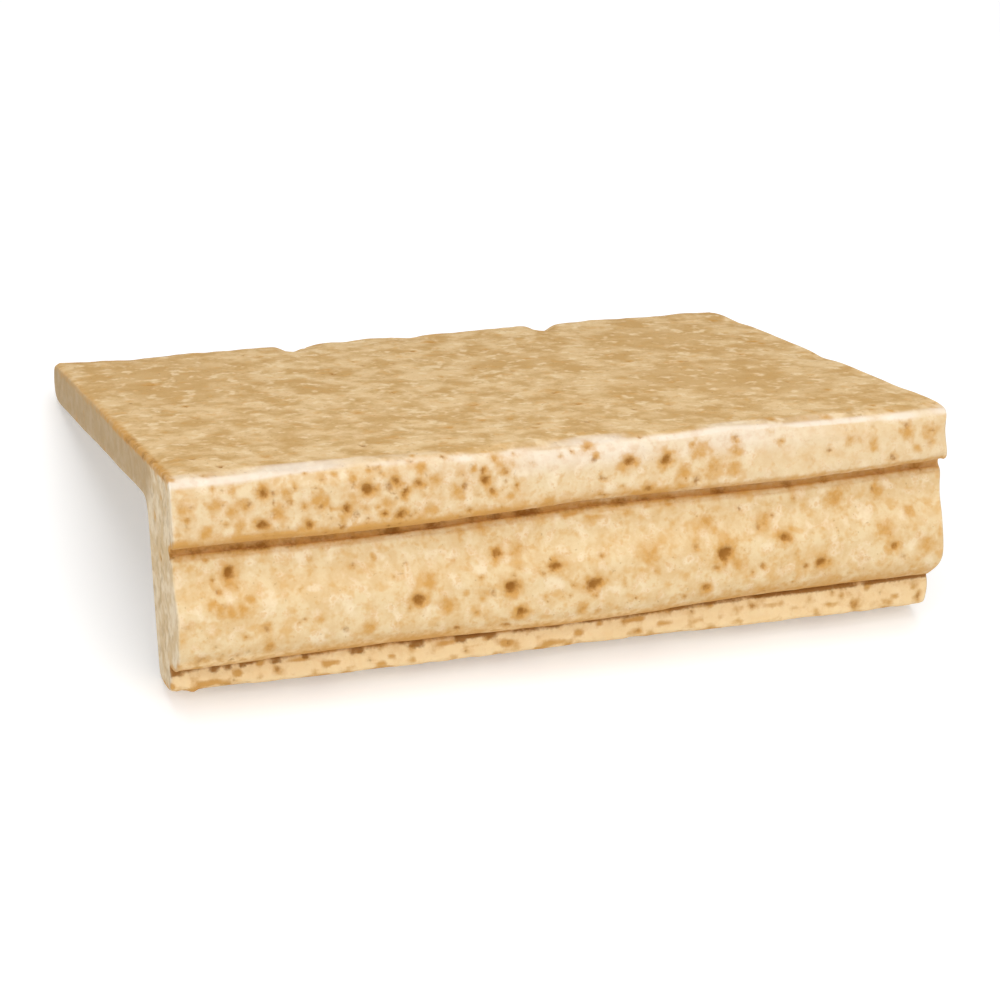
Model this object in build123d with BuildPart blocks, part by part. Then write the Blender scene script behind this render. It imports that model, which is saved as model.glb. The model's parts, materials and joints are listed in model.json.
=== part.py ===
"""Window sill stone: one cast L-shaped block, a thin plate with a moulded apron along its front edge.

The stone is drawn as it is laid on a wall: X runs along the wall, Y goes back from the nosing face
towards the window, and Z is up from the toe of the apron. It is then turned to lie as it rests unheld
on a floor, on the inner edge of its toe and the lower back edge of its plate.
"""

import os
from math import atan2, degrees, pi, radians, sin, tan

from build123d import *

# Plate, in millimetres
length = 280.0
depth = 215.0
plate_thickness = 15.0

# Moulded front: the height of each member, from the top down
nosing_height = 25.0
quirk_width = 2.6
band_neck = 6.0
band_swell = 15.0
band_face = 8.1
under_radius = 10.0
foot_height = 9.8

# Moulded front: how far each member stands back from the one in front of it
band_recess = 4.5
quirk_depth = 3.0
foot_setback = 3.0
foot_quirk = 1.8

# Worn edges
arris_radius = 4.5
lip_chamfer = 1.6
toe_radius = 2.5
back_chamfer = 2.5
inner_radius = 2.5

# Apron's back: it leans forward towards the toe, so that the stone leaves its mould
toe_thickness = 22.5
apron_draft = 5.0

# Hand-run mould: the lines climb from the left end to the right, the foot's late, and waver on the way
nosing_climb = 4.5
foot_climb = 4.0
foot_climb_power = 2
waver = 0.6
waver_length = 150.0

# Chisel-dressed back edge: how deep the dressing bites, and how long its waves are
dressing = 1.8
dressing_length = 110.0

# Sections that the block is lofted through
stations = 13

# Heights and depths that follow
band_height = band_neck + band_swell + band_face + under_radius
height = foot_height + band_height + quirk_width + nosing_height
bed = height - plate_thickness
foot_recess = under_radius + foot_setback
toe_back = foot_recess + toe_thickness
apron_back = toe_back + bed * tan(radians(apron_draft))
rest_tilt = degrees(atan2(bed, depth - toe_back))


def wave(x, run, phase):
    """A wave between -1 and 1 along the stone."""
    return sin(2 * pi * x / run + phase)


def section_at(x):
    """Section across the wall at one station, with the rebate behind the apron still solid."""
    share = x / length + 0.5

    # Where the hand-run lines and faces lie at this station
    nosing = waver * wave(x, waver_length, 0.4)
    arris = arris_radius + waver * wave(x, waver_length, 2.1)
    nosing_low = height - nosing_height + nosing_climb * share + waver * wave(x, waver_length, 1.3)
    band = waver * wave(x, waver_length, 3.6)
    foot_rise = foot_climb * share**foot_climb_power
    foot_top = foot_height + foot_rise + waver * wave(x, waver_length, 5.0)
    foot = foot_recess + waver * wave(x, waver_length, 0.9)
    back = depth - dressing * (1 + wave(x, dressing_length, 0.7)) / 2

    # Corners of the groove under the nosing and of the band below it
    band_top = nosing_low - quirk_width
    groove = band_recess + quirk_depth
    neck = (band_recess, band_top - band_neck)
    full = (band, neck[1] - band_swell)
    under = (band, foot_top + under_radius)
    soffit = (band + under_radius, foot_top)

    with BuildSketch(Plane.YZ.offset(x)) as section:
        with BuildLine():
            Line((back - back_chamfer, height), (nosing + arris, height))
            RadiusArc((nosing + arris, height), (nosing, height - arris), -arris)
            Line((nosing, height - arris), (nosing, nosing_low + lip_chamfer))
            Line((nosing, nosing_low + lip_chamfer), (nosing + lip_chamfer, nosing_low))
            Polyline((nosing + lip_chamfer, nosing_low), (groove, nosing_low), (groove, band_top))
            Line((groove, band_top), (band_recess + lip_chamfer, band_top))
            Polyline((band_recess + lip_chamfer, band_top), (band_recess, band_top - lip_chamfer), neck)
            Spline(neck, full, tangents=((0, -1), (0, -1)))
            Line(full, under)
            RadiusArc(under, soffit, -under_radius)
            Line(soffit, (foot + foot_quirk, foot_top))
            Line((foot + foot_quirk, foot_top), (foot, foot_top - foot_quirk))
            Line((foot, foot_top - foot_quirk), (foot, toe_radius))
            RadiusArc((foot, toe_radius), (foot + toe_radius, 0), -toe_radius)
            Polyline((foot + toe_radius, 0), (back, 0), (back, height - back_chamfer))
            Line((back, height - back_chamfer), (back - back_chamfer, height))
        make_face()
    return section.sketch


sections = [section_at(length * (i / (stations - 1) - 0.5)) for i in range(stations)]

with BuildPart() as block:
    loft(sections)

    # Rebate that takes the top front edge of the wall
    with BuildSketch(Plane.YZ.offset(-length)) as rebate:
        with BuildLine():
            Polyline((toe_back, 0), (apron_back, bed), (2 * depth, bed), (2 * depth, 0), close=True)
        make_face()
        fillet(rebate.vertices().group_by(Axis.Y)[-1].sort_by(Axis.X)[0], radius=inner_radius)
    extrude(amount=2 * length, mode=Mode.SUBTRACT)

# Lie unheld on the floor, centred over the origin
with BuildPart() as laid:
    add(block.part, rotation=(-rest_tilt, 0, 0))
box = laid.part.bounding_box()

with BuildPart() as sill_stone:
    with Locations((-box.center().X, -box.center().Y, -box.min.Z)):
        add(laid.part)
sill_stone.part.label = "sill_stone"

os.makedirs("parts", exist_ok=True)
export_step(sill_stone.part, "parts/sill_stone.step")
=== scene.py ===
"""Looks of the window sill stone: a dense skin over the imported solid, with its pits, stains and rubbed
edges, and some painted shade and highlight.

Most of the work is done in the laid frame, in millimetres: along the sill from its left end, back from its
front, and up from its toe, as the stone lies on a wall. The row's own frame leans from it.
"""
import itertools
import json
import math
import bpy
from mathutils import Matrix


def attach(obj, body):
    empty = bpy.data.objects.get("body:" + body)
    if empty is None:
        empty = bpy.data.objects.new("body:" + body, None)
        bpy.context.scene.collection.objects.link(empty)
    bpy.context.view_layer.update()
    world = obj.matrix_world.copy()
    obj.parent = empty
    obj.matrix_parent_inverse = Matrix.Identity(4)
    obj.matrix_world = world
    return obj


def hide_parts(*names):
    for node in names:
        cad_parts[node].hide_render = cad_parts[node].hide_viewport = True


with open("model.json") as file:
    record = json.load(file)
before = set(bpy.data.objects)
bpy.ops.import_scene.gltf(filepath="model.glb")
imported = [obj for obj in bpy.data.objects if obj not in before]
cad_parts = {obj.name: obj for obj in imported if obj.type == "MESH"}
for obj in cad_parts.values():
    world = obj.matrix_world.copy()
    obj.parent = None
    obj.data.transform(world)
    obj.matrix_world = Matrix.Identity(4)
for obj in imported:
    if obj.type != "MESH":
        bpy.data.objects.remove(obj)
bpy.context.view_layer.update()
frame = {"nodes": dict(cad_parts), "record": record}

from types import SimpleNamespace

import bpy
import numpy as np
from mathutils import Matrix, Vector
from mathutils.geometry import delaunay_2d_cdt
from mathutils.kdtree import KDTree

NODE = "sill_stone"
MM = 0.001
# Bake map: its name, and the gap between its parts in millimetres
MAP_NAME = "OFBake"
MAP_GAP = 4.0

# Spacing of the skin's points, in millimetres
COLUMN_STEP = 0.8
TOP_STEP = 2.8
FRONT_STEP = 0.82
HIDDEN_STEP = 5.0
CORNER_STEP = 1.0
CAP_STEP = 2.2
# Columns next to each end: their places in from it, in millimetres
END_COLUMNS = (0.0, 0.15, 0.45, 0.9, 1.5, 2.2, 3.0)
# Outlines: samples around each, and the direction, back and up, in which the top back corner is furthest
FINE_SAMPLES = 2640
TOP_BACK = (1, 4)
# Reaches over which the outline's normals and bends are taken, in millimetres
NORMAL_REACH = 1.8
BEND_REACH = 2.5

# Worn ends, in millimetres: the left end first, then the right
END_RADIUS = (0.6, 0.6)
TOP_WEAR = (1.4, 0.0)
END_WOBBLE = (0.7, 1.0)
# How far along the sill an end's knocks and its sawn colour reach, and how soon relief fades to its rim
END_REACH = 15.0
SAWN_REACH = 0.8
SKIN_FADE = 2.0
CAP_FADE = 4.0
# Wear of the apron's back at the left end: how deep it is and how far along it reaches, in millimetres
APRON_WEAR = (1.8, 25.0)

# Knocks on the right end: depth, height, reach and amount, in millimetres
RIGHT_KNOCKS = (
    (0, 54.8, 3.0, 0.4), (0, 68, 7.0, 1.3), (0, 38, 15.0, 1.5), (6, 15, 6.0, 3.8), (14, 1, 5.0, 1.2),
)
# Dips in the top's right edge: place back from the front, half width and depth, in millimetres
TOP_DIPS = ((3, 4.0, 0.9), (40, 6.0, 0.4), (104, 8.0, 1.3), (186, 8.0, 0.8), (211, 6.0, 0.8))
# Notches in the top back edge: place along the sill, half width and depth, in millimetres
BACK_NOTCHES = (
    (95, 4.5, 2.4), (101, 6.0, 1.2), (118, 6.0, 0.6), (146, 5.0, 0.8), (202, 4.5, 3.0), (30, 9.0, 0.6),
)
# A crumb left on the toe's lower edge: its place along the sill, half width and height, in millimetres
TOE_CRUMB = (7.5, 1.5, 1.0)

# Heights that part the stone, in millimetres down from its top
TOP_FACE = 6.0
BACK_EDGE = 8.0
# How far down from the top the pale arris line of rubbing and painted highlight may reach
WEAR_AND_HIGHLIGHT_EDGE = 8.0
ARRIS_FACE = 12.0
PLATE_FACE = 17.0
NOSING_FACE = 24.0
BAND_HIGH = 28.0
# Heights that part the stone, in millimetres up from its toe
TOE_FACE = 5.0
BAND_LOW = 14.0
FOOT_FACE = (16.0, 12.0)
# Depths that part the stone, in millimetres back from its front
ARRIS_BACK = 14.0
TOE_FRONT = 22.0
GROOVE_BACK = 30.0
FRONT_BACK = 40.0
APRON_BACK = 48.0
# Depth of the back face's own zone, in millimetres in from it
BACK_FACE = 3.0

# Relief, in millimetres: how deep the fields of noise go all over and on the top, and how far edges are
# rubbed away
CAST_BASE = 0.14
CAST_RELIEF = {"swell": 0.11, "lump": 0.12, "grain": 0.09}
TOP_RELIEF = {"top_lump": 0.18, "top_grain": 0.13}
LIP_WEAR = 0.3
BACK_RIM = 0.15
RIGHT_RIM = 0.1
LEFT_RIM = 0.6
EDGE_RIM = 0.55
APRON_RIM = 0.9
APRON_RIM_REACH = 30.0
LEFT_ARRIS_WEAR = 0.6
RIGHT_FACE_WEAR = 0.4
TOE_WEAR = 0.5

# Seeds of the random draws: the pits' stretch, the scattered pits, and the points of the ends
STRETCH_SEED = 7
SCATTER_SEED = 8
CAP_SEED = 51


# Laid frame

def laid_axes():
    """Rows: along the sill, back from its front, and up, each in the row's frame."""
    mounts = {mount["name"]: mount for mount in frame["record"]["mounts"]}
    up = -np.array(mounts["bed_face"]["axis"], float)
    along = np.array((1.0, 0.0, 0.0))
    return np.array((along, np.cross(up, along), up))


def cad_mesh():
    """The solid's points and triangles in the laid axes, in millimetres, with its seams joined."""
    mesh = frame["nodes"][NODE].data
    mesh.calc_loop_triangles()
    points = np.empty(len(mesh.vertices) * 3)
    mesh.vertices.foreach_get("co", points)
    corners = np.empty(len(mesh.loop_triangles) * 3, np.int32)
    mesh.loop_triangles.foreach_get("vertices", corners)
    points = points.reshape(-1, 3) @ AXES.T / MM
    _, first, joined = np.unique(np.round(points, 3), axis=0, return_index=True, return_inverse=True)
    return points[first], joined.ravel()[corners].reshape(-1, 3)


AXES = laid_axes()
SOLID, TRIANGLES = cad_mesh()
ORIGIN = SOLID.min(axis=0)
SOLID = SOLID - ORIGIN
LENGTH, DEPTH, HEIGHT = SOLID.max(axis=0)


def to_row(points):
    """Points of the laid frame, in millimetres, in the row's frame, in metres."""
    return ((np.asarray(points, float) + ORIGIN) @ AXES) * MM


# Shared maths

def unit(vectors):
    """Vectors scaled to a length of 1."""
    return vectors / np.maximum(np.linalg.norm(vectors, axis=-1, keepdims=True), 1e-9)


def smoothstep(low, high, values):
    """0 on the side of low, 1 on the side of high, and a smooth change between them."""
    share = np.clip((values - low) / (high - low), 0, 1)
    return share * share * (3 - 2 * share)


def lattice_noise(points, size, seed):
    """Smooth noise between -1 and 1, with lumps of a size in millimetres: one number, or one per axis."""
    cells = 32
    lattice = np.random.default_rng(seed).uniform(-1, 1, (cells, cells, cells))
    place = np.asarray(points, float) / np.asarray(size, float)
    low = np.floor(place).astype(int)
    share = place - low
    share = share * share * (3 - 2 * share)
    total = np.zeros(len(place))
    for corner in itertools.product((0, 1), repeat=3):
        at = (low + corner) % cells
        weight = np.where(corner, share, 1 - share).prod(axis=1)
        total += weight * lattice[at[:, 0], at[:, 1], at[:, 2]]
    return total


# Stretches along the sill over which a look sets in, in millimetres: where it is nil, then where it is full
STRETCHES = {
    "left_edge": (4.0, 1.2),
    "left_rim": (7.0, 0.5),
    "left_arris": (66.0, 50.0),
    "pale_band_from": (60.0, 120.0),
    "pale_band_to": (260.0, 190.0),
    "thin_highlight_wear": (90.0, 150.0),
    "seep_from": (85.0, 110.0),
    "seep_to": (205.0, 165.0),
    "even_corner": (90.0, 170.0),
    "faint_foot": (110.0, 170.0),
    "faint_slot": (110.0, 190.0),
    "faint_lip": (120.0, 200.0),
    "thin_lip": (120.0, 220.0),
    "plain_nosing": (190.0, 225.0),
    "right_rim": (LENGTH - 9.0, LENGTH - 0.5),
    "right_face": (LENGTH - 4.0, LENGTH),
}
# Stretches back from the front, given the same way
DEPTHS = {
    "wear_and_highlight_edge": (11.0, 6.0),
    "plate_end": (25.0, 45.0),
    "left_dark": (110.0, 60.0),
    "left_rim_ochre": (150.0, 70.0),
    "back_bite": (DEPTH - 20.0, DEPTH - 4.0),
    "back_rim": (DEPTH - 9.0, DEPTH - 1.0),
}
# Strips along a groove, in millimetres down the outline from it: middle, half width and soft edge
# In the grooves these strips are painted dark brown: painted shade with beaded dirt
STRIPS = {"slot": (1.6, 1.3, 0.7), "corner": (1.2, 1.5, 0.9), "beads": (1.6, 2.2, 0.9)}
# Lips on one side of a groove, in millimetres along the outline from it: width and soft edge
# The nosing's, band's and foot's lips take ochre and painted shade where they turn from the light; the last
# lip takes seeps only
NOSING_LIP = (9.0, 2.4)
BAND_LIP = (4.2, 1.4)
FOOT_LIP = (1.0, 2.2)
SEEP_LIP = (4.5, 3.5)
# How much thinner the soft edge of the nosing's lip is at its right, in millimetres
LIP_THINNING = 1.0
# Rolled underside of the band, where painted shade is laid, in millimetres down the outline from the foot's
# groove: from nil to full
BAND_ROLL = (-19.0, -8.0)
SOFFIT = (-8.0, -1.5)


def along_sill(name, x):
    """0 at the nil end of a named stretch along the sill, 1 at its full end, and a smooth change between."""
    return smoothstep(*STRETCHES[name], x)


def going_back(name, back):
    """The same for a named stretch back from the front."""
    return smoothstep(*DEPTHS[name], back)


def near(gap, reach):
    """1 where a gap is 0 or less, easing to 0 beyond a reach."""
    return np.exp(-((np.maximum(gap, 0) / reach) ** 2))


def strip(name, gap):
    """1 on a named strip along a groove, easing to 0 past its edges."""
    middle, half, soft = STRIPS[name]
    return near(np.abs(gap - middle) - half, soft)


# Fields of noise over the stone: the size of their lumps in millimetres, and a seed
FIELDS = {
    "swell": (24.0, 1),
    "lump": (9.0, 2),
    "grain": (3.2, 3),
    "top_lump": (11.0, 4),
    "top_grain": (5.0, 12),
    "chip": ((15.0, 11.0, 11.0), 5),
    "chip_grain": (5.5, 6),
    "arris": ((30.0, 20.0, 20.0), 13),
    "toe": ((5.0, 3.0, 3.0), 17),
    "ridge": ((22.0, 60.0, 60.0), 16),
    "seep": ((14.0, 6.0, 6.0), 8),
    "bead": ((4.5, 4.0, 4.0), 9),
    "dash": ((3.8, 2.4, 2.4), 10),
    "highlight_wear": ((26.0, 12.0, 12.0), 14),
    "highlight_wear_grain": ((9.0, 5.0, 5.0), 15),
    "ragged": (1.7, 41),
    "end_slow": (22.0, 11),
    "end_quick": (7.0, 21),
    "end_radius": (14.0, 31),
}


def field(points, name, side=0):
    """A named field of noise at the points, or its twin for the right end where side is 1."""
    size, seed = FIELDS[name]
    return lattice_noise(points, size, seed + side)


# Skin

def section(x):
    """The solid's outline across the sill at x: (depth, height) points from the top back corner on."""
    beyond = SOLID[:, 0] > x
    crossing = TRIANGLES[np.ptp(beyond[TRIANGLES].astype(int), axis=1) > 0]
    links = {}
    for corners in crossing:
        pairs = [tuple(sorted((corners[a], corners[a - 1]))) for a in range(3)]
        one, other = [pair for pair in pairs if beyond[pair[0]] != beyond[pair[1]]]
        links.setdefault(one, []).append(other)
        links.setdefault(other, []).append(one)
    start = next(iter(links))
    walk, before, here = [start], start, links[start][0]
    while here != start:
        walk.append(here)
        before, here = here, next(pair for pair in links[here] if pair != before)
    low, high = np.array(walk).T
    share = (x - SOLID[low, 0]) / (SOLID[high, 0] - SOLID[low, 0])
    outline = (SOLID[low] + (SOLID[high] - SOLID[low]) * share[:, None])[:, 1:]
    across = np.roll(outline, -1, axis=0)
    if (outline[:, 0] * across[:, 1] - across[:, 0] * outline[:, 1]).sum() < 0:
        outline = outline[::-1]
    return np.roll(outline, -int((outline @ TOP_BACK).argmax()), axis=0)


def evenly(outline):
    """A closed outline resampled at even steps, and its length."""
    closed = np.vstack((outline, outline[:1]))
    run = np.concatenate(([0], np.cumsum(np.linalg.norm(np.diff(closed, axis=0), axis=1))))
    at = np.arange(FINE_SAMPLES) / FINE_SAMPLES * run[-1]
    return np.stack([np.interp(at, run, closed[:, axis]) for axis in (0, 1)], axis=1), run[-1]


def box_blur(values, reach):
    """Mean of a closed ring of values over a reach each way, in samples."""
    return sum(np.roll(values, shift, axis=0) for shift in range(-reach, reach + 1)) / (2 * reach + 1)


def ring_shape(outline, perimeter):
    """Smoothed outward normals of an even outline, and how far it bends, in radians, convex above 0."""
    step = perimeter / FINE_SAMPLES
    tangent = np.roll(outline, -1, axis=0) - np.roll(outline, 1, axis=0)
    normal = unit(np.stack((tangent[:, 1], -tangent[:, 0]), axis=1))
    reach = round(BEND_REACH / step)
    ahead = np.roll(normal, -reach, axis=0)
    behind = np.roll(normal, reach, axis=0)
    turn = behind[:, 0] * ahead[:, 1] - behind[:, 1] * ahead[:, 0]
    bend = np.arctan2(turn, (behind * ahead).sum(axis=1))
    return unit(box_blur(normal, round(NORMAL_REACH / step))), bend


def row_places(outline, perimeter):
    """Shares of the outline's length at which the skin's rows lie, and the share at the toe's inner edge."""
    normal, bend = ring_shape(outline, perimeter)
    low = np.flatnonzero(outline[:, 1] < 0.5)
    toe = low[outline[low, 0].argmax()]
    # The arris is where the top first turns down, well past the back corner that the outline starts at
    arris = np.flatnonzero(normal[:, 1] < 0.97)
    arris = arris[arris > 60][0]
    step = np.full(FINE_SAMPLES, HIDDEN_STEP)
    step[:arris] = TOP_STEP
    step[arris:toe] = np.where(outline[arris:toe, 1] < 0.3, HIDDEN_STEP, FRONT_STEP)
    step = np.where(np.abs(bend) > 0.2, np.minimum(step, CORNER_STEP), step)
    step = box_blur(step, 12)
    rows = np.concatenate(([0], np.cumsum(perimeter / FINE_SAMPLES / step)))
    count = round(rows[-1])
    places = np.interp(np.arange(count) / count * rows[-1], rows, np.arange(FINE_SAMPLES + 1) / FINE_SAMPLES)
    return places, toe / FINE_SAMPLES


def column_places():
    """Where the skin's columns lie along the sill, closer together at the worn ends."""
    ends = np.array(END_COLUMNS)
    inner = LENGTH - 2 * ends[-1]
    count = round(inner / COLUMN_STEP)
    middle = ends[-1] + np.arange(1, count) * inner / count
    return np.concatenate((ends, middle, LENGTH - ends[::-1]))


def end_shift(points, side):
    """How far each end lies inside the solid's, in millimetres: it is sawn, then knocked about."""
    slow = field(points, "end_slow", side)
    quick = field(points, "end_quick", side)
    shift = END_WOBBLE[side] * (0.45 + 0.33 * slow + 0.12 * quick)
    if side == 1:
        for depth, height, reach, amount in RIGHT_KNOCKS:
            gap = np.hypot(points[:, 1] - depth, points[:, 2] - height)
            shift = shift + amount * np.exp(-((gap / reach) ** 2))
    return shift


def ease(ring, times):
    """A closed ring of points, each eased towards its neighbours so many times."""
    for _ in range(times):
        ring = 0.5 * ring + 0.25 * (np.roll(ring, 1, axis=0) + np.roll(ring, -1, axis=0))
    return ring


def build_skin():
    """Points of the skin by column and row, with their outward directions and bends, and the rows' places."""
    middle, perimeter = evenly(section(LENGTH / 2))
    places, toe = row_places(middle, perimeter)
    fine = np.arange(FINE_SAMPLES) / FINE_SAMPLES
    points, normals, bends = [], [], []
    for x in column_places():
        outline, perimeter = evenly(section(np.clip(x, 0.01, LENGTH - 0.01)))
        normal, bend = ring_shape(outline, perimeter)
        ring = np.stack([np.interp(places, fine, outline[:, axis], period=1) for axis in (0, 1)], axis=1)
        out = unit(np.stack([np.interp(places, fine, normal[:, axis], period=1) for axis in (0, 1)], axis=1))
        side = 0 if x < LENGTH / 2 else 1
        gap = min(x, LENGTH - x)
        flat = np.column_stack((np.zeros(len(ring)), ring))
        radius = END_RADIUS[side] * (1 + 0.4 * field(flat, "end_radius", side))
        upper = smoothstep(0.8, 1.0, out[:, 1]) * (ring[:, 1] > HEIGHT - 3)
        radius += TOP_WEAR[side] * upper
        inset = radius - np.sqrt(np.maximum(radius**2 - np.maximum(radius - gap, 0) ** 2, 0))
        behind = smoothstep(0.7, 1.0, out[:, 0]) * (ring[:, 0] < APRON_BACK)
        inset += APRON_WEAR[0] * behind * math.exp(-((x / APRON_WEAR[1]) ** 2))
        for place, reach, deep in TOP_DIPS:
            dip = deep * upper * np.exp(-(((ring[:, 0] - place) / reach) ** 2))
            inset += dip * smoothstep(LENGTH - 16, LENGTH - 2, x)
        ring = ease(ring - out * inset[:, None], round(8 * max(1 - gap / 2, 0)))
        shift = end_shift(flat, side) * math.exp(-((gap / END_REACH) ** 2))
        along = x + shift if side == 0 else x - shift
        points.append(np.column_stack((along, ring)))
        normals.append(np.column_stack((np.zeros(len(ring)), out)))
        bends.append(np.interp(places, fine, bend, period=1))
    return np.array(points), np.array(normals), np.array(bends), places, toe


def inside_outline(points, outline):
    """Whether each point lies inside a closed outline."""
    ahead = np.roll(outline, -1, axis=0)
    above = (outline[:, 1] > points[:, 1, None]) != (ahead[:, 1] > points[:, 1, None])
    rise = np.where(ahead[:, 1] == outline[:, 1], 1, ahead[:, 1] - outline[:, 1])
    meets = outline[:, 0] + (points[:, 1, None] - outline[:, 1]) / rise * (ahead[:, 0] - outline[:, 0])
    return (above & (points[:, 0, None] < meets)).sum(axis=1) % 2 == 1


def build_cap(ring, side):
    """Points, triangles and gaps from the rim that close one end, inside the ring of its column."""
    outline = ring[:, 1:]
    steps = [np.arange(low, high, CAP_STEP) for low, high in zip(outline.min(axis=0), outline.max(axis=0))]
    grid = np.stack(np.meshgrid(*steps), axis=-1).reshape(-1, 2)
    grid = grid + np.random.default_rng(CAP_SEED + side).uniform(-0.3, 0.3, grid.shape) * CAP_STEP
    grid = grid[inside_outline(grid, outline)]
    gap = np.linalg.norm(grid[:, None] - outline, axis=2).min(axis=1)
    grid, gap = grid[gap > 0.45 * CAP_STEP], gap[gap > 0.45 * CAP_STEP]
    flat = [Vector(place) for place in np.vstack((outline, grid))]
    around = [(i, (i + 1) % len(outline)) for i in range(len(outline))]
    _, _, faces, sources, _, _ = delaunay_2d_cdt(flat, around, [], 1, 1e-6)
    faces = [[sources[corner][0] for corner in face] for face in faces]
    shift = end_shift(np.column_stack((np.zeros(len(grid)), grid)), side)
    along = shift if side == 0 else LENGTH - shift
    return np.column_stack((along, grid)), faces, gap


# Pits that show best: place along the sill, height on its front, and radius, in millimetres
PITS = (
    (19, 42, 2.2), (31, 69, 1.7), (30, 58, 2.0), (46, 57, 1.5), (59, 61, 1.7), (66, 67, 2.1),
    (72, 58, 1.2), (77, 57, 1.7), (76, 69, 1.4), (79, 65, 1.4), (84, 67, 1.5), (107, 66, 1.8),
    (109, 62, 1.2), (159, 67, 1.8), (172, 67, 1.8), (166, 57, 1.5), (83, 27, 2.0), (112, 40, 1.7),
    (116, 28, 2.4), (119, 19, 1.8), (132, 34, 2.0), (145, 26, 2.3), (194, 32, 2.7), (217, 35, 1.9),
    (231, 24, 1.9), (259, 27, 1.4), (187, 20, 1.4),
)
# Ochre smudges with hardly any depth, given the same way
SMUDGES = (
    (12, 33, 1.3), (15, 31, 1.5), (18, 30, 1.5), (22, 31, 1.5), (25, 33, 1.3), (19, 39, 2.0),
    (15, 66, 1.7), (36, 61, 1.7), (39, 68, 1.2), (49, 66, 1.7), (52, 63, 1.7), (57, 57, 1.4),
    (43, 55, 1.4), (73, 61, 1.4), (11, 57, 1.5), (23, 58, 1.5), (89, 68, 1.5), (88, 58, 1.7),
    (97, 63, 1.9), (87, 33, 2.2), (119, 40, 1.9), (93, 24, 2.3), (65, 19, 1.8), (129, 55, 2.4),
    (179, 62, 1.7), (185, 69, 2.2), (190, 62, 2.4), (197, 61, 1.8), (198, 68, 1.8), (177, 57, 1.5),
    (166, 34, 2.4), (189, 42, 1.9), (210, 41, 2.0), (198, 28, 1.5), (238, 46, 2.1), (254, 47, 1.7),
    (256, 34, 1.9), (265, 39, 1.4), (272, 27, 2.4), (263, 68, 1.7), (272, 68, 1.8), (250, 65, 1.3),
)
# Pits in the top: place along the sill, place back from the front, and radius, in millimetres
TOP_PITS = ((191, 45, 1.3), (176, 41, 1.1), (154, 31, 1.0), (20, 13, 1.1), (72, 26, 1.0), (96, 150, 1.1))
# Deeper tan patches on the top, given the same way
TOP_PATCHES = ((37, 176, 24), (30, 138, 18), (215, 88, 24), (242, 62, 20), (165, 140, 18), (236, 165, 24))
# Dark beads in the groove over the foot: place along the sill and half length, in millimetres
GROOVE_BEADS = (
    (2, 2.5), (15, 2.0), (19.5, 1.5), (24.5, 1.5), (36, 2.0),
    (46, 1.5), (64, 3.0), (85, 3.0), (101, 2.5), (112, 2.5),
)
# Pits scattered at random over each zone
LOOSE_PITS = {"nosing": 170, "band": 90, "foot": 90, "top": 90, "cut": 60}
# Where the nosing's crowd together: the place along the sill and the spread, in millimetres
PIT_CROWD = (65.0, 55.0)


class Marks:
    """Relief and colour marks that gather on the skin's points."""

    def __init__(self, points, normals):
        self.points = points
        self.normals = normals
        self.depth = np.zeros(len(points))
        self.brown_pit_and_shade = np.zeros(len(points))
        self.ochre_stain_and_shade = np.zeros(len(points))
        self.ragged = field(points, "ragged")
        self.tree = KDTree(len(points))
        for index, point in enumerate(points):
            self.tree.insert(point, index)
        self.tree.balance()
        self.random = np.random.default_rng(STRETCH_SEED)

    def carve(self, at, radius, deep, core, halo):
        """A hollow carved at the point numbered at, stretched at random, as brown as core says in an ochre
        halo.
        """
        centre, normal = self.points[at], self.normals[at]
        across = unit(np.cross(normal, (0.31, 0.95, 0.17)))
        along = np.cross(normal, across)
        angle = self.random.uniform(0, math.pi)
        one = across * math.cos(angle) + along * math.sin(angle)
        other = along * math.cos(angle) - across * math.sin(angle)
        stretch = self.random.uniform(1.0, 1.18)
        found = self.tree.find_range(centre, 4.0 * radius)
        index = np.array([item[1] for item in found])
        away = self.points[index] - centre
        gap = np.stack((away @ one / stretch, away @ other * stretch, away @ normal))
        gap = np.linalg.norm(gap, axis=0) * (1 + 0.3 * self.ragged[index]) / radius
        self.depth[index] = np.maximum(self.depth[index], deep * np.maximum(1 - gap**2, 0) ** 0.8)
        self.brown_pit_and_shade[index] = np.maximum(self.brown_pit_and_shade[index], core * np.exp(-((gap / 0.95) ** 3)))
        self.ochre_stain_and_shade[index] = np.maximum(self.ochre_stain_and_shade[index], halo * np.exp(-((gap / 1.8) ** 2)))


def carve_marks(marks, zones):
    """Every hollow: those that show best, then loose ones scattered over each zone."""
    front = np.flatnonzero(zones["front"])
    top = np.flatnonzero(zones["top"] > 0.9)
    for x, height, radius in PITS:
        gap = np.hypot(marks.points[front, 0] - x, marks.points[front, 2] - height)
        marks.carve(front[gap.argmin()], 1.08 * radius, 0.65 * radius, 0.35 + 0.25 * radius, 0.9)
    for x, height, radius in SMUDGES:
        gap = np.hypot(marks.points[front, 0] - x, marks.points[front, 2] - height)
        marks.carve(front[gap.argmin()], radius, 0.1 * radius, 0.2, 0.75)
    for x, back, radius in TOP_PITS:
        gap = np.hypot(marks.points[top, 0] - x, marks.points[top, 1] - back)
        marks.carve(top[gap.argmin()], radius, 0.9 * radius, 0.9, 0.4)
    random = np.random.default_rng(SCATTER_SEED)
    for zone, count in LOOSE_PITS.items():
        share = zones[zone] / zones[zone].sum()
        for index in random.choice(len(share), count, p=share, replace=False):
            radius = min(0.7 + 0.4 * random.gamma(1.5, 0.6), 1.7)
            shade = random.uniform(0.1, 0.8)
            marks.carve(index, radius, 0.6 * shade * radius, 0.8 * shade, random.uniform(0.2, 0.8))


def ring_run(ring):
    """How far along a ring each of its points lies, from the first."""
    return np.concatenate(([0], np.cumsum(np.linalg.norm(np.diff(ring, axis=0), axis=1))))


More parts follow.
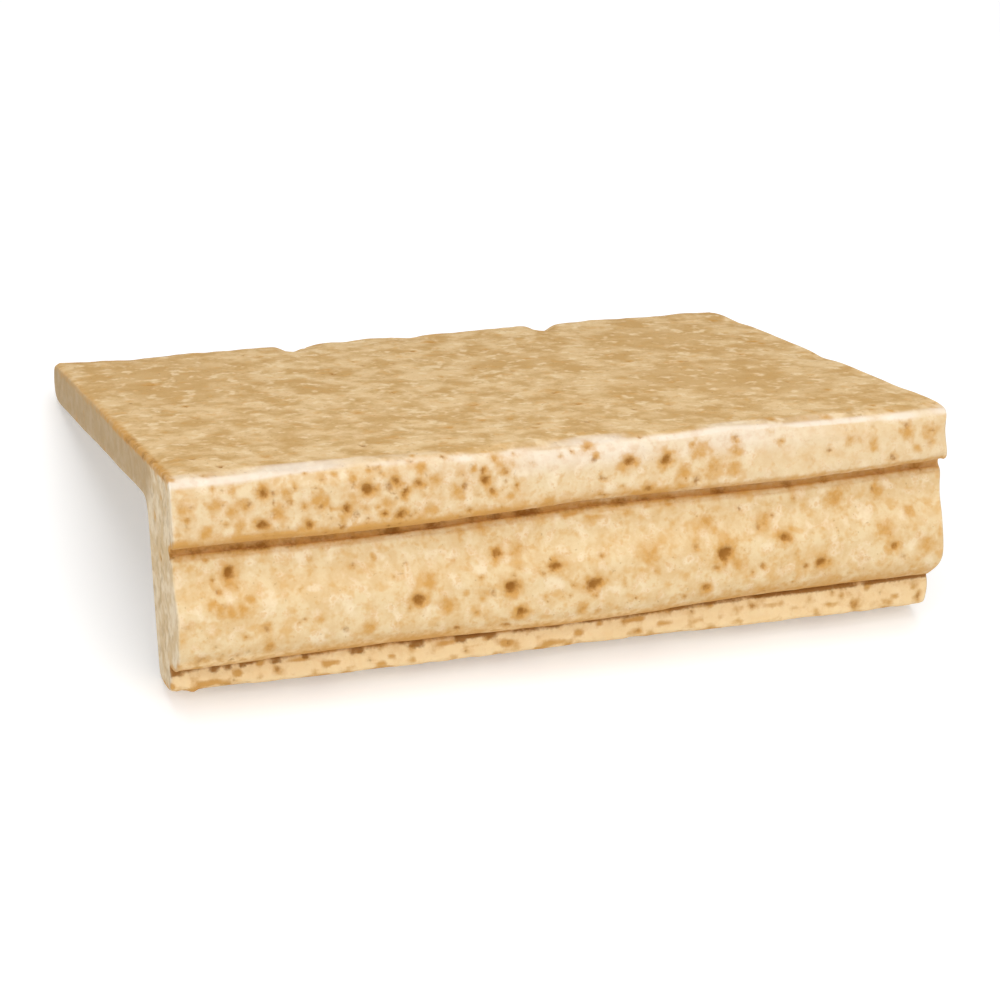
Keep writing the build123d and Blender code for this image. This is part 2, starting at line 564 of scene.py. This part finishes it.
class Skin:
    """The stone's points before their relief: columns of rows over the solid, then its two ends."""

    def __init__(self):
        self.grid, out, bend, self.places, self.toe = build_skin()
        columns, rows = self.grid.shape[:2]
        self.count = columns * rows
        self.points = self.grid.reshape(-1, 3)
        self.normals = out.reshape(-1, 3)
        self.brink = np.repeat(np.minimum(column_places(), LENGTH - column_places()), rows)
        self.fade = smoothstep(0, SKIN_FADE, self.brink)
        self.faces = []
        for j in range(columns - 1):
            for i in range(rows):
                here, beside, after = j * rows, (j + 1) * rows, (i + 1) % rows
                self.faces.append((here + i, here + after, beside + after, beside + i))
        self.cap_faces = []
        for side, column in ((0, 0), (1, columns - 1)):
            self.close(side, column, rows)
        extra = np.zeros(len(self.points) - self.count)
        self.brink = np.append(self.brink, extra)
        self.bend = np.append(bend.ravel(), extra)
        self.share = np.append(np.tile(self.places, columns), extra)
        self.cap = np.arange(len(self.points)) >= self.count

    def close(self, side, column, rows):
        """Closes one end, at the column given."""
        extra, triangles, gap = build_cap(self.grid[column], side)
        base = len(self.points) - rows
        triangles = [[column * rows + c if c < rows else base + c for c in face] for face in triangles]
        self.cap_faces.append([face[::-1] if side == 0 else face for face in triangles])
        self.points = np.vstack((self.points, extra))
        self.fade = np.append(self.fade, smoothstep(0, CAP_FADE, gap))
        outward = (-1.0 if side == 0 else 1.0, 0, 0)
        self.normals = np.vstack((self.normals, np.tile(outward, (len(extra), 1))))

    def groove_gaps(self, hollow):
        """How far down the outline points lie from the nosing's groove and the foot's, in millimetres."""
        hollow = hollow[:self.count].reshape(self.grid.shape[:2])
        run = ring_run(self.grid[len(self.grid) // 2])
        far = np.full(len(self.points) - self.count, np.inf)
        gaps = []
        for here in (self.grid[:, :, 2] > HEIGHT / 2, self.grid[:, :, 2] < HEIGHT / 2):
            weight = hollow**2 * here
            centre = (weight * run).sum(axis=1) / weight.sum(axis=1)
            gaps.append(np.append((run - centre[:, None]).ravel(), far))
        return gaps


def find_zones(skin):
    """Where each part of the stone lies, as weights over the skin's points, and their gaps to the grooves."""
    x, back, height = skin.points.T
    skinned = ~skin.cap
    before_toe = skin.share < skin.toe
    zone = SimpleNamespace()
    zone.ridge = field(skin.points, "ridge")
    upward = smoothstep(0.6, 0.93, skin.normals[:, 2] + 0.12 * zone.ridge)
    zone.top = upward * (height > HEIGHT - TOP_FACE) * skinned
    zone.hidden = (skin.share > skin.toe) & (back < DEPTH - BACK_FACE) & skinned
    zone.front = before_toe & (zone.top < 0.5) & (back < FRONT_BACK) & skinned
    zone.nosing = zone.front * (height > HEIGHT - NOSING_FACE)
    zone.band = zone.front * (height > BAND_LOW) * (height < HEIGHT - BAND_HIGH)
    zone.foot = zone.front * smoothstep(*FOOT_FACE, height)
    zone.edge = np.clip(skin.bend / 1.3, 0, 1) * skinned
    zone.arris = np.clip(skin.bend * 1.6, 0, 1) * skinned
    zone.arris *= (height > HEIGHT - ARRIS_FACE) & (back < ARRIS_BACK)
    zone.toe_edge = zone.edge * zone.front * (height < TOE_FACE)

    hollow = np.clip(-skin.bend / 1.2, 0, 1) * before_toe * (back < GROOVE_BACK) * skinned
    zone.upper, zone.lower = skin.groove_gaps(hollow)
    soft = NOSING_LIP[1] - LIP_THINNING * along_sill("thin_lip", x)
    zone.nosing_lip = near(-zone.upper - NOSING_LIP[0], soft) * (zone.upper < 0) * zone.front
    zone.band_lip = near(zone.upper - BAND_LIP[0], BAND_LIP[1]) * (zone.upper >= 0) * zone.front
    zone.band_roll = smoothstep(*BAND_ROLL, zone.lower) * (zone.lower < 0) * zone.front
    zone.foot_lip = near(zone.lower - FOOT_LIP[0], FOOT_LIP[1]) * (zone.lower >= 0) * zone.front
    return zone


def surface_relief(skin, zone):
    """How far cast lumps, grain and knocked edges lie inside the solid's faces, in millimetres."""
    points = skin.points
    x, back, height = points.T
    relief = CAST_BASE + sum(deep * field(points, name) for name, deep in CAST_RELIEF.items())
    relief += zone.top * sum(deep * field(points, name) for name, deep in TOP_RELIEF.items())
    relief += LIP_WEAR * zone.edge * (zone.nosing_lip + zone.band_lip)

    inner_back = zone.hidden * (back < APRON_BACK) * (height < HEIGHT - PLATE_FACE)
    rims = (
        BACK_RIM * going_back("back_rim", back) * ~skin.cap,
        RIGHT_RIM * along_sill("right_rim", x) * zone.top,
        LEFT_RIM * along_sill("left_rim", x) * zone.top,
        EDGE_RIM * zone.edge,
        APRON_RIM * inner_back * smoothstep(APRON_RIM_REACH, 0, np.minimum(x, LENGTH - x)),
    )
    chips = 0.45 + 0.55 * field(points, "chip") + 0.3 * field(points, "chip_grain")
    relief += np.maximum(chips, 0) * np.max(rims, axis=0)
    relief += zone.arris * np.maximum(0.45 + 0.9 * field(points, "arris"), 0)
    relief += LEFT_ARRIS_WEAR * zone.arris * along_sill("left_arris", x)
    relief += RIGHT_FACE_WEAR * zone.front * along_sill("right_face", x)
    bite = going_back("back_bite", back) * (height > HEIGHT - BACK_EDGE) * ~skin.cap
    for place, reach, deep in BACK_NOTCHES:
        relief += deep * bite * np.exp(-(((x - place) / reach) ** 2))
    relief *= 1 - 0.6 * zone.toe_edge
    relief += TOE_WEAR * zone.toe_edge * np.maximum(field(points, "toe"), 0)
    return np.maximum(relief, 0)


def carved_marks(skin, zone):
    """The pits and smudges of the stone, carved zone by zone."""
    place, spread = PIT_CROWD
    crowd = np.exp(-(((skin.points[:, 0] - place) / spread) ** 2))
    marks = Marks(skin.points, skin.normals)
    carve_marks(marks, {
        "top": zone.top,
        "front": zone.front,
        "nosing": zone.nosing * (0.15 + crowd),
        "band": zone.band * 1.0,
        "foot": zone.foot,
        "cut": (skin.cap | zone.hidden) * 1.0,
    })
    return marks


def ochre_stain_and_shade_layers(skin, zone, marks):
    """Ochre and brown: seeps and beads along the grooves and the foot, and the marks; with painted shade on
    the nosing's and band's lips, in the grooves, under the band's roll and on the foot's lip.
    """
    x, back, _ = skin.points.T
    seep = field(skin.points, "seep")
    beads = field(skin.points, "bead")
    dashes = field(skin.points, "dash")
    even = along_sill("even_corner", x)
    middle = along_sill("seep_from", x) * along_sill("seep_to", x)
    slot = strip("slot", zone.upper) * zone.front
    corner = strip("corner", zone.lower) * zone.front
    # Painted shade on the band's rolled underside just above the foot's groove
    soffit = smoothstep(*SOFFIT, zone.lower) * (zone.lower < 0) * zone.front
    under_groove = near(zone.upper - SEEP_LIP[0], SEEP_LIP[1]) * (zone.upper >= 0) * zone.front * middle
    # The top's rim at the left end is coloured ochre, and brown nearer the front
    left_edge = zone.top * along_sill("left_edge", x)

    # Lips and the band's underside: ochre seep and painted shade where they turn from the light
    lip_seep_and_shade = np.clip(0.75 + 0.4 * seep - 0.3 * along_sill("faint_lip", x), 0, 1)
    ochre_stain_and_shade = np.max((
        np.maximum(zone.nosing_lip, 0.45 * zone.band_lip) * lip_seep_and_shade,
        under_groove * np.clip(0.2 + 0.9 * dashes, 0, 0.9),
        np.maximum(0.85 * zone.band_roll, 0.62 * zone.foot_lip) * np.clip(0.85 + 0.35 * seep, 0, 1),
        zone.foot * np.clip((1.6 - 0.5 * along_sill("faint_foot", x)) * dashes - 0.1, 0, 0.95),
        0.7 * slot,
        marks.ochre_stain_and_shade,
        left_edge * (0.3 + 0.35 * going_back("left_rim_ochre", back)),
    ), axis=0)
    # Brown: painted shade in both grooves and under the band, with beaded dirt, the marks' cores, and the
    # top's left rim
    brown_pit_and_shade = np.max((
        slot * np.clip(0.34 + 0.6 * beads - 0.24 * along_sill("faint_slot", x), 0, 0.95),
        0.48 * soffit,
        corner * np.clip(0.5 + (0.9 - 0.3 * even) * beads + 0.3 * even, 0, 0.95),
        marks.brown_pit_and_shade,
        left_edge * going_back("left_dark", back) * np.clip(0.35 + 0.5 * beads, 0, 0.7),
    ), axis=0)
    lip = strip("beads", zone.lower) * zone.front
    for place, reach in GROOVE_BEADS:
        brown_pit_and_shade = np.maximum(brown_pit_and_shade, 0.9 * lip * np.exp(-(((x - place) / reach) ** 4)))
    return ochre_stain_and_shade, brown_pit_and_shade


def wear_and_highlight_layer(skin, zone):
    """Pale rubbing and a painted highlight: a line along the arris where its rounding faces half up, and a
    softer paler band down the nosing below it.
    """
    x, back, height = skin.points.T
    wear_and_highlight = 0.75 + 0.6 * field(skin.points, "highlight_wear") + 0.4 * field(skin.points, "highlight_wear_grain")
    # Painted highlight as well as rubbing: the line sits where the arris faces half up, where light catches
    # it
    line = (skin.normals[:, 2] - 0.7 - 0.2 * zone.ridge) / (0.44 - 0.12 * along_sill("thin_highlight_wear", x))
    wear_and_highlight = np.clip(wear_and_highlight, 0, 1) * np.exp(-(line**2))
    wear_and_highlight *= (height > HEIGHT - WEAR_AND_HIGHLIGHT_EDGE) * going_back("wear_and_highlight_edge", back) * ~skin.cap
    soft = smoothstep(HEIGHT - 13, HEIGHT - 4, height) * (1 - zone.top)
    soft *= along_sill("pale_band_from", x) * along_sill("pale_band_to", x)
    soft *= np.clip(0.8 + 0.5 * zone.ridge, 0, 1)
    return np.maximum(wear_and_highlight, zone.nosing * (0.27 + 0.45 * soft))


def deep_tan_and_shade_layer(skin, zone, sawn):
    """Deeper tan: patches of the top, and painted shade on the plate's share of the sawn ends."""
    x, back, height = skin.points.T
    deep_tan_and_shade = np.zeros(len(x))
    for place, depth, reach in TOP_PATCHES:
        deep_tan_and_shade += zone.top * np.exp(-(((x - place) / reach) ** 2) - ((back - depth) / reach) ** 2)
    # Painted shade: the plate's part of each sawn end is made a darker tan
    plate_end = smoothstep(HEIGHT - 20, HEIGHT - 11, height) * going_back("plate_end", back)
    deep_tan_and_shade += (plate_end - deep_tan_and_shade) * sawn
    return np.minimum(deep_tan_and_shade, 1)


def bake_map(mesh, skin):
    """A map of the skin unrolled in two strips, parted at the toe, with the two ends above them."""
    rows = len(skin.places)
    xs = skin.grid[:, 0, 0]
    run = np.append(skin.places, 1.0) * 2 * (DEPTH + HEIGHT)
    column, row = np.divmod(np.arange((len(xs) - 1) * rows), rows)
    u = xs[np.stack((column, column, column + 1, column + 1), axis=1)]
    v = run[np.stack((row, row + 1, row + 1, row), axis=1)]
    toe_run = run[np.searchsorted(skin.places, skin.toe)]
    behind = (run[row] >= toe_run)[:, None]
    strips = np.stack((u + behind * (LENGTH + MAP_GAP), v - behind * toe_run), axis=2).reshape(-1, 2)
    ends = []
    for side, faces in enumerate(skin.cap_faces):
        flat = skin.points[np.ravel(faces), 1:]
        ends.append(flat + (side * (LENGTH + MAP_GAP), toe_run + MAP_GAP))
    whole = np.vstack([strips, *ends])
    layer = mesh.uv_layers.new(name=MAP_NAME)
    layer.uv.foreach_set("vector", (whole / whole.max()).astype(np.float32).ravel())


def build_stone():
    """The stone's mesh, with its relief, and its marks as attributes."""
    skin = Skin()
    zone = find_zones(skin)
    x, back, _ = skin.points.T
    marks = carved_marks(skin, zone)
    place, reach, proud = TOE_CRUMB
    inward = (surface_relief(skin, zone) + marks.depth) * skin.fade
    inward -= proud * zone.toe_edge * (back < TOE_FRONT) * np.exp(-(((x - place) / reach) ** 2))
    shaped = skin.points - skin.normals * inward[:, None]

    mesh = bpy.data.meshes.new("sill_stone_skin")
    mesh.from_pydata(to_row(shaped).tolist(), [], skin.faces + skin.cap_faces[0] + skin.cap_faces[1])
    mesh.polygons.foreach_set("use_smooth", np.ones(len(mesh.polygons), bool))
    sawn = 1 - smoothstep(0, SAWN_REACH, skin.brink)
    ochre_stain_and_shade, brown_pit_and_shade = ochre_stain_and_shade_layers(skin, zone, marks)
    layers = {
        # These two carry painted shade by the grooves and under the band, as well as seeps and hollows
        "brown_pit_and_shade": brown_pit_and_shade,
        "ochre_stain_and_shade": ochre_stain_and_shade,
        "top": zone.top,
        "cut": np.maximum(sawn, zone.hidden * 0.9),
        # Rubbing and a painted highlight along the arris, and a paler nosing
        "wear_and_highlight": wear_and_highlight_layer(skin, zone),
        # Top patches, and painted shade on the plate's part of the sawn ends
        "deep_tan_and_shade": deep_tan_and_shade_layer(skin, zone, sawn),
        "plain": zone.nosing * along_sill("plain_nosing", x),
        # The foot's weight also lays its painted light
        "foot": zone.foot,
    }
    for name, values in layers.items():
        layer = mesh.attributes.new(name, "FLOAT", "POINT")
        layer.data.foreach_set("value", np.asarray(values, np.float32))
    bake_map(mesh, skin)
    mesh.update()
    return mesh


# Materials

def srgb(red, green, blue):
    """A colour as written in 8-bit sRGB, as the linear RGBA that shaders take."""
    def linear(value):
        share = value / 255
        return share / 12.92 if share <= 0.04045 else ((share + 0.055) / 1.055) ** 2.4
    return (linear(red), linear(green), linear(blue), 1.0)


class Shader:
    """Builds a material's nodes, one call for each."""

    def __init__(self, name):
        self.material = bpy.data.materials.new(name)
        self.material.use_nodes = True
        self.tree = self.material.node_tree
        self.surface = self.tree.nodes["Principled BSDF"]

    def set(self, socket, value):
        """Links a socket to a node's output, or gives it a value."""
        if isinstance(value, bpy.types.NodeSocket):
            self.tree.links.new(value, socket)
        else:
            socket.default_value = value

    def places(self, stretch):
        """Object coordinates in millimetres, squeezed along each axis by stretch."""
        coordinates = self.tree.nodes.new("ShaderNodeTexCoord")
        scale = self.tree.nodes.new("ShaderNodeVectorMath")
        scale.operation = "MULTIPLY"
        scale.inputs[1].default_value = [1000 / s for s in stretch]
        self.set(scale.inputs[0], coordinates.outputs["Object"])
        return scale.outputs[0]

    def noise(self, size, stretch=(1, 1, 1), detail=3.0, roughness=0.55):
        """Noise from 0 to 1 with lumps of a size in millimetres."""
        node = self.tree.nodes.new("ShaderNodeTexNoise")
        node.inputs["Scale"].default_value = 1 / size
        node.inputs["Detail"].default_value = detail
        node.inputs["Roughness"].default_value = roughness
        self.set(node.inputs["Vector"], self.places(stretch))
        return node.outputs["Fac"]

    def attribute(self, name):
        node = self.tree.nodes.new("ShaderNodeAttribute")
        node.attribute_name = name
        return node.outputs["Fac"]

    def ramp(self, value, low, high, top=1.0):
        """value mapped smoothly from low..high to 0..top."""
        node = self.tree.nodes.new("ShaderNodeMapRange")
        node.interpolation_type = "SMOOTHSTEP"
        node.inputs["From Min"].default_value = low
        node.inputs["From Max"].default_value = high
        node.inputs["To Max"].default_value = top
        self.set(node.inputs["Value"], value)
        return node.outputs["Result"]

    def maths(self, operation, one, other):
        node = self.tree.nodes.new("ShaderNodeMath")
        node.operation = operation
        self.set(node.inputs[0], one)
        self.set(node.inputs[1], other)
        return node.outputs[0]

    def mix(self, one, other, factor):
        """One colour blended to another by a factor."""
        node = self.tree.nodes.new("ShaderNodeMix")
        node.data_type = "RGBA"
        self.set(node.inputs["Factor"], factor)
        self.set(node.inputs["A"], one)
        self.set(node.inputs["B"], other)
        return node.outputs["Result"]

    def bump(self, height, distance, strength):
        node = self.tree.nodes.new("ShaderNodeBump")
        node.inputs["Strength"].default_value = strength
        node.inputs["Distance"].default_value = distance
        self.set(node.inputs["Height"], height)
        return node.outputs["Normal"]


# Colours of the stone, in 8-bit sRGB
CREAM = srgb(230, 205, 161)
PEACH = srgb(222, 189, 139)
PALE = srgb(245, 228, 197)
OCHRE = srgb(214, 161, 86)
BROWN = srgb(156, 104, 48)
TAN = srgb(230, 198, 148)
TAN_PALE = srgb(240, 214, 170)
TAN_DEEP = srgb(203, 162, 102)
GREY_BEIGE = srgb(232, 214, 184)
DULL_TAN = srgb(210, 182, 138)
# Near-white for the arris line: rubbed stone and a painted highlight
ARRIS_PALE_AND_HIGHLIGHT = srgb(244, 237, 227)
# Ochre for seeps and halos, and for painted shade by the grooves and under the band
SEEP_OCHRE_AND_SHADE = srgb(206, 152, 76)
# Brown for hollows and beads, and for painted shade in the grooves and under the band
PIT_BROWN_AND_SHADE = srgb(151, 98, 33)
PLAIN = srgb(226, 197, 151)
# Pale cream laid over the recessed foot: painted light, as it sits in the band's shade
FOOT_PAINTED_LIGHT = srgb(254, 224, 173)
# Dull deep tan for the sawn ends' grit, and for painted shade on the plate's part of them
DULL_DEEP = srgb(178, 150, 111)


def stone_material():
    """Cast stone: mottled cream front, blotched tan top, sawn grey-beige ends, ochre seeps and brown pits,
    with painted shade by the grooves, under the band and on the plate's end, a painted highlight on the arris
    and painted light on the foot.
    """
    s = Shader("cast_stone")
    mottle = s.noise(6.5, detail=3.0, roughness=0.6)
    crumb = s.noise(5.2, detail=2.0)
    grit = s.noise(4.6, detail=2.0)
    speck = s.noise(2.6, detail=2.0)
    dot = s.noise(1.4, detail=1.0)
    blotch = s.noise(12, (1, 1.2, 1), 4.0, 0.6)
    fleck = s.noise(5.0, (1, 1.2, 1), 2.0)
    fine = s.noise(0.8, detail=3.0)

    front = s.mix(CREAM, PEACH, s.ramp(mottle, 0.35, 0.65))
    front = s.mix(front, OCHRE, s.ramp(grit, 0.48, 0.72, 0.55))
    front = s.mix(front, PALE, s.ramp(crumb, 0.50, 0.70, 0.60))
    front = s.mix(front, OCHRE, s.ramp(speck, 0.55, 0.72, 0.40))
    front = s.mix(front, BROWN, s.ramp(dot, 0.70, 0.80, 0.30))
    front = s.mix(front, PLAIN, s.ramp(s.attribute("plain"), 0.0, 1.0, 0.35))
    # Painted light: the recessed foot is made paler
    front = s.mix(front, FOOT_PAINTED_LIGHT, s.ramp(s.attribute("foot"), 0.0, 1.0, 0.7))

    top = s.mix(TAN, TAN_DEEP, s.ramp(blotch, 0.36, 0.64))
    top = s.mix(top, TAN_DEEP, s.ramp(s.attribute("deep_tan_and_shade"), 0.0, 1.0, 0.75))
    top = s.mix(top, TAN_PALE, s.ramp(fleck, 0.52, 0.72, 0.8))
    top = s.mix(top, OCHRE, s.ramp(grit, 0.56, 0.72, 0.4))
    top = s.mix(top, BROWN, s.ramp(dot, 0.64, 0.78, 0.4))

    cut = s.mix(GREY_BEIGE, DULL_TAN, s.ramp(mottle, 0.38, 0.62, 0.8))
    cut = s.mix(cut, DULL_DEEP, s.ramp(grit, 0.50, 0.70, 0.45))
    # Painted shade: the plate's part of the sawn ends turns dull deep tan
    cut = s.mix(cut, DULL_DEEP, s.ramp(s.attribute("deep_tan_and_shade"), 0.0, 1.0, 0.75))

    colour = s.mix(front, top, s.attribute("top"))
    colour = s.mix(colour, cut, s.attribute("cut"))
    # Painted highlight and rubbing: the arris line blends towards near-white
    colour = s.mix(colour, ARRIS_PALE_AND_HIGHLIGHT, s.ramp(s.attribute("wear_and_highlight"), 0.1, 0.9, 0.6))
    # Ochre seeps and halos, and painted shade by the grooves and under the band
    ragged = s.maths("ADD", s.attribute("ochre_stain_and_shade"), s.ramp(speck, 0.3, 0.7, 0.3))
    colour = s.mix(colour, SEEP_OCHRE_AND_SHADE, s.ramp(ragged, 0.12, 1.0, 0.9))
    # Brown hollows and beads, and painted shade in the grooves and under the band
    ragged = s.maths("ADD", s.attribute("brown_pit_and_shade"), s.ramp(dot, 0.3, 0.7, 0.25))
    colour = s.mix(colour, PIT_BROWN_AND_SHADE, s.ramp(ragged, 0.25, 1.05, 0.9))
    s.set(s.surface.inputs["Base Color"], colour)
    s.surface.inputs["Roughness"].default_value = 0.92
    s.surface.inputs["Specular IOR Level"].default_value = 0.2
    relief = s.maths("ADD", s.maths("MULTIPLY", speck, 0.6), fine)
    s.set(s.surface.inputs["Normal"], s.bump(relief, 0.0006, 0.35))
    return s.material


# Scene

def add_stone():
    stone = bpy.data.objects.new("sill_stone_skin", build_stone())
    bpy.context.scene.collection.objects.link(stone)
    stone.data.materials.append(stone_material())
    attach(stone, "root")
    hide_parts(NODE)


# The photograph's camera: its place in the laid frame in millimetres, and its angles in degrees
EYE = (-176.0, -855.5, 282.5)
AZIMUTH = 18.585
ELEVATION = 13.91
ROLL = 1.15
PHOTO_FOCAL_PX = 1000.0
PHOTO_WINDOW_PX = 360.0


def add_camera():
    """The photograph's view of the stone, filled by the square of the photograph that holds it."""
    camera = bpy.data.objects.new("camera", bpy.data.cameras.new("camera"))
    bpy.context.scene.collection.objects.link(camera)
    azimuth, elevation, roll = (math.radians(angle) for angle in (AZIMUTH, ELEVATION, ROLL))
    level = math.cos(elevation)
    forward = np.array((math.sin(azimuth) * level, math.cos(azimuth) * level, -math.sin(elevation)))
    right = unit(np.cross(forward, (0, 0, 1)))
    up = np.cross(right, forward)
    up, right = up * math.cos(roll) + right * math.sin(roll), right * math.cos(roll) - up * math.sin(roll)
    turn = np.array((right, up, -forward)) @ AXES
    place = Matrix(turn.T.tolist()).to_4x4()
    place.translation = Vector(to_row(EYE))
    camera.matrix_world = place
    camera.data.lens = camera.data.sensor_width * PHOTO_FOCAL_PX / PHOTO_WINDOW_PX
    camera.data.clip_start = 0.01
    bpy.context.scene.camera = camera


# Floor: its side in metres, its colour, and a glow that only the camera and reflections see
FLOOR_SIZE = 8.0
FLOOR_PALE = (0.85, 0.85, 0.85, 1.0)
FLOOR_GLOW = 0.28


def seen_directly(tree):
    """1 for rays from the camera, also by way of a mirror or glass, and 0 for other light."""
    ray = tree.nodes.new("ShaderNodeLightPath")
    total = ray.outputs["Is Camera Ray"]
    for name in ("Is Glossy Ray", "Is Transmission Ray"):
        add = tree.nodes.new("ShaderNodeMath")
        add.use_clamp = True
        tree.links.new(total, add.inputs[0])
        tree.links.new(ray.outputs[name], add.inputs[1])
        total = add.outputs[0]
    return total


def add_floor():
    """A plain pale floor that keeps the stone's shadow."""
    mesh = bpy.data.meshes.new("floor")
    half = FLOOR_SIZE / 2
    corners = [(-half, -half, 0), (half, -half, 0), (half, half, 0), (-half, half, 0)]
    mesh.from_pydata(corners, [], [(0, 1, 2, 3)])
    floor = bpy.data.objects.new("floor", mesh)
    bpy.context.scene.collection.objects.link(floor)
    s = Shader("floor")
    s.surface.inputs["Base Color"].default_value = FLOOR_PALE
    s.surface.inputs["Roughness"].default_value = 0.9
    s.surface.inputs["Specular IOR Level"].default_value = 0.1
    glow = s.tree.nodes.new("ShaderNodeEmission")
    s.set(glow.inputs["Strength"], s.ramp(seen_directly(s.tree), 0, 1, FLOOR_GLOW))
    both = s.tree.nodes.new("ShaderNodeAddShader")
    s.set(both.inputs[0], s.surface.outputs[0])
    s.set(both.inputs[1], glow.outputs[0])
    s.set(s.tree.nodes["Material Output"].inputs["Surface"], both.outputs[0])
    mesh.materials.append(s.material)


# Soft boxes: azimuth and elevation in degrees, distance and size in metres, watts
LIGHTS = {
    "key": (16.0, 36.0, 1.6, 1.1, 9.0),
    "overhead": (0.0, 84.0, 1.6, 1.2, 10.2),
    "fill": (-65.0, 30.0, 1.8, 1.4, 10.0),
    "back": (160.0, 60.0, 1.8, 1.2, 3.2),
}
WORLD_LIGHT = 0.34


def add_lights():
    for name, (azimuth, elevation, distance, size, power) in LIGHTS.items():
        lamp = bpy.data.lights.new(name, "AREA")
        lamp.size = size
        lamp.energy = power
        light = bpy.data.objects.new(name, lamp)
        bpy.context.scene.collection.objects.link(light)
        a, e = math.radians(azimuth), math.radians(elevation)
        away = Vector((math.sin(a) * math.cos(e), -math.cos(a) * math.cos(e), math.sin(e)))
        light.location = away * distance
        light.rotation_euler = away.to_track_quat("Z", "Y").to_euler()
    world = bpy.data.worlds.new("studio")
    world.use_nodes = True
    bpy.context.scene.world = world
    tree = world.node_tree
    strength = tree.nodes.new("ShaderNodeMapRange")
    strength.inputs["To Min"].default_value = WORLD_LIGHT
    strength.inputs["To Max"].default_value = 1.0
    tree.links.new(seen_directly(tree), strength.inputs["Value"])
    tree.links.new(strength.outputs["Result"], tree.nodes["Background"].inputs["Strength"])
    tree.nodes["Background"].inputs["Color"].default_value = (1, 1, 1, 1)


add_stone()
add_camera()
add_floor()
add_lights()
bpy.context.scene.view_settings.view_transform = "Standard"
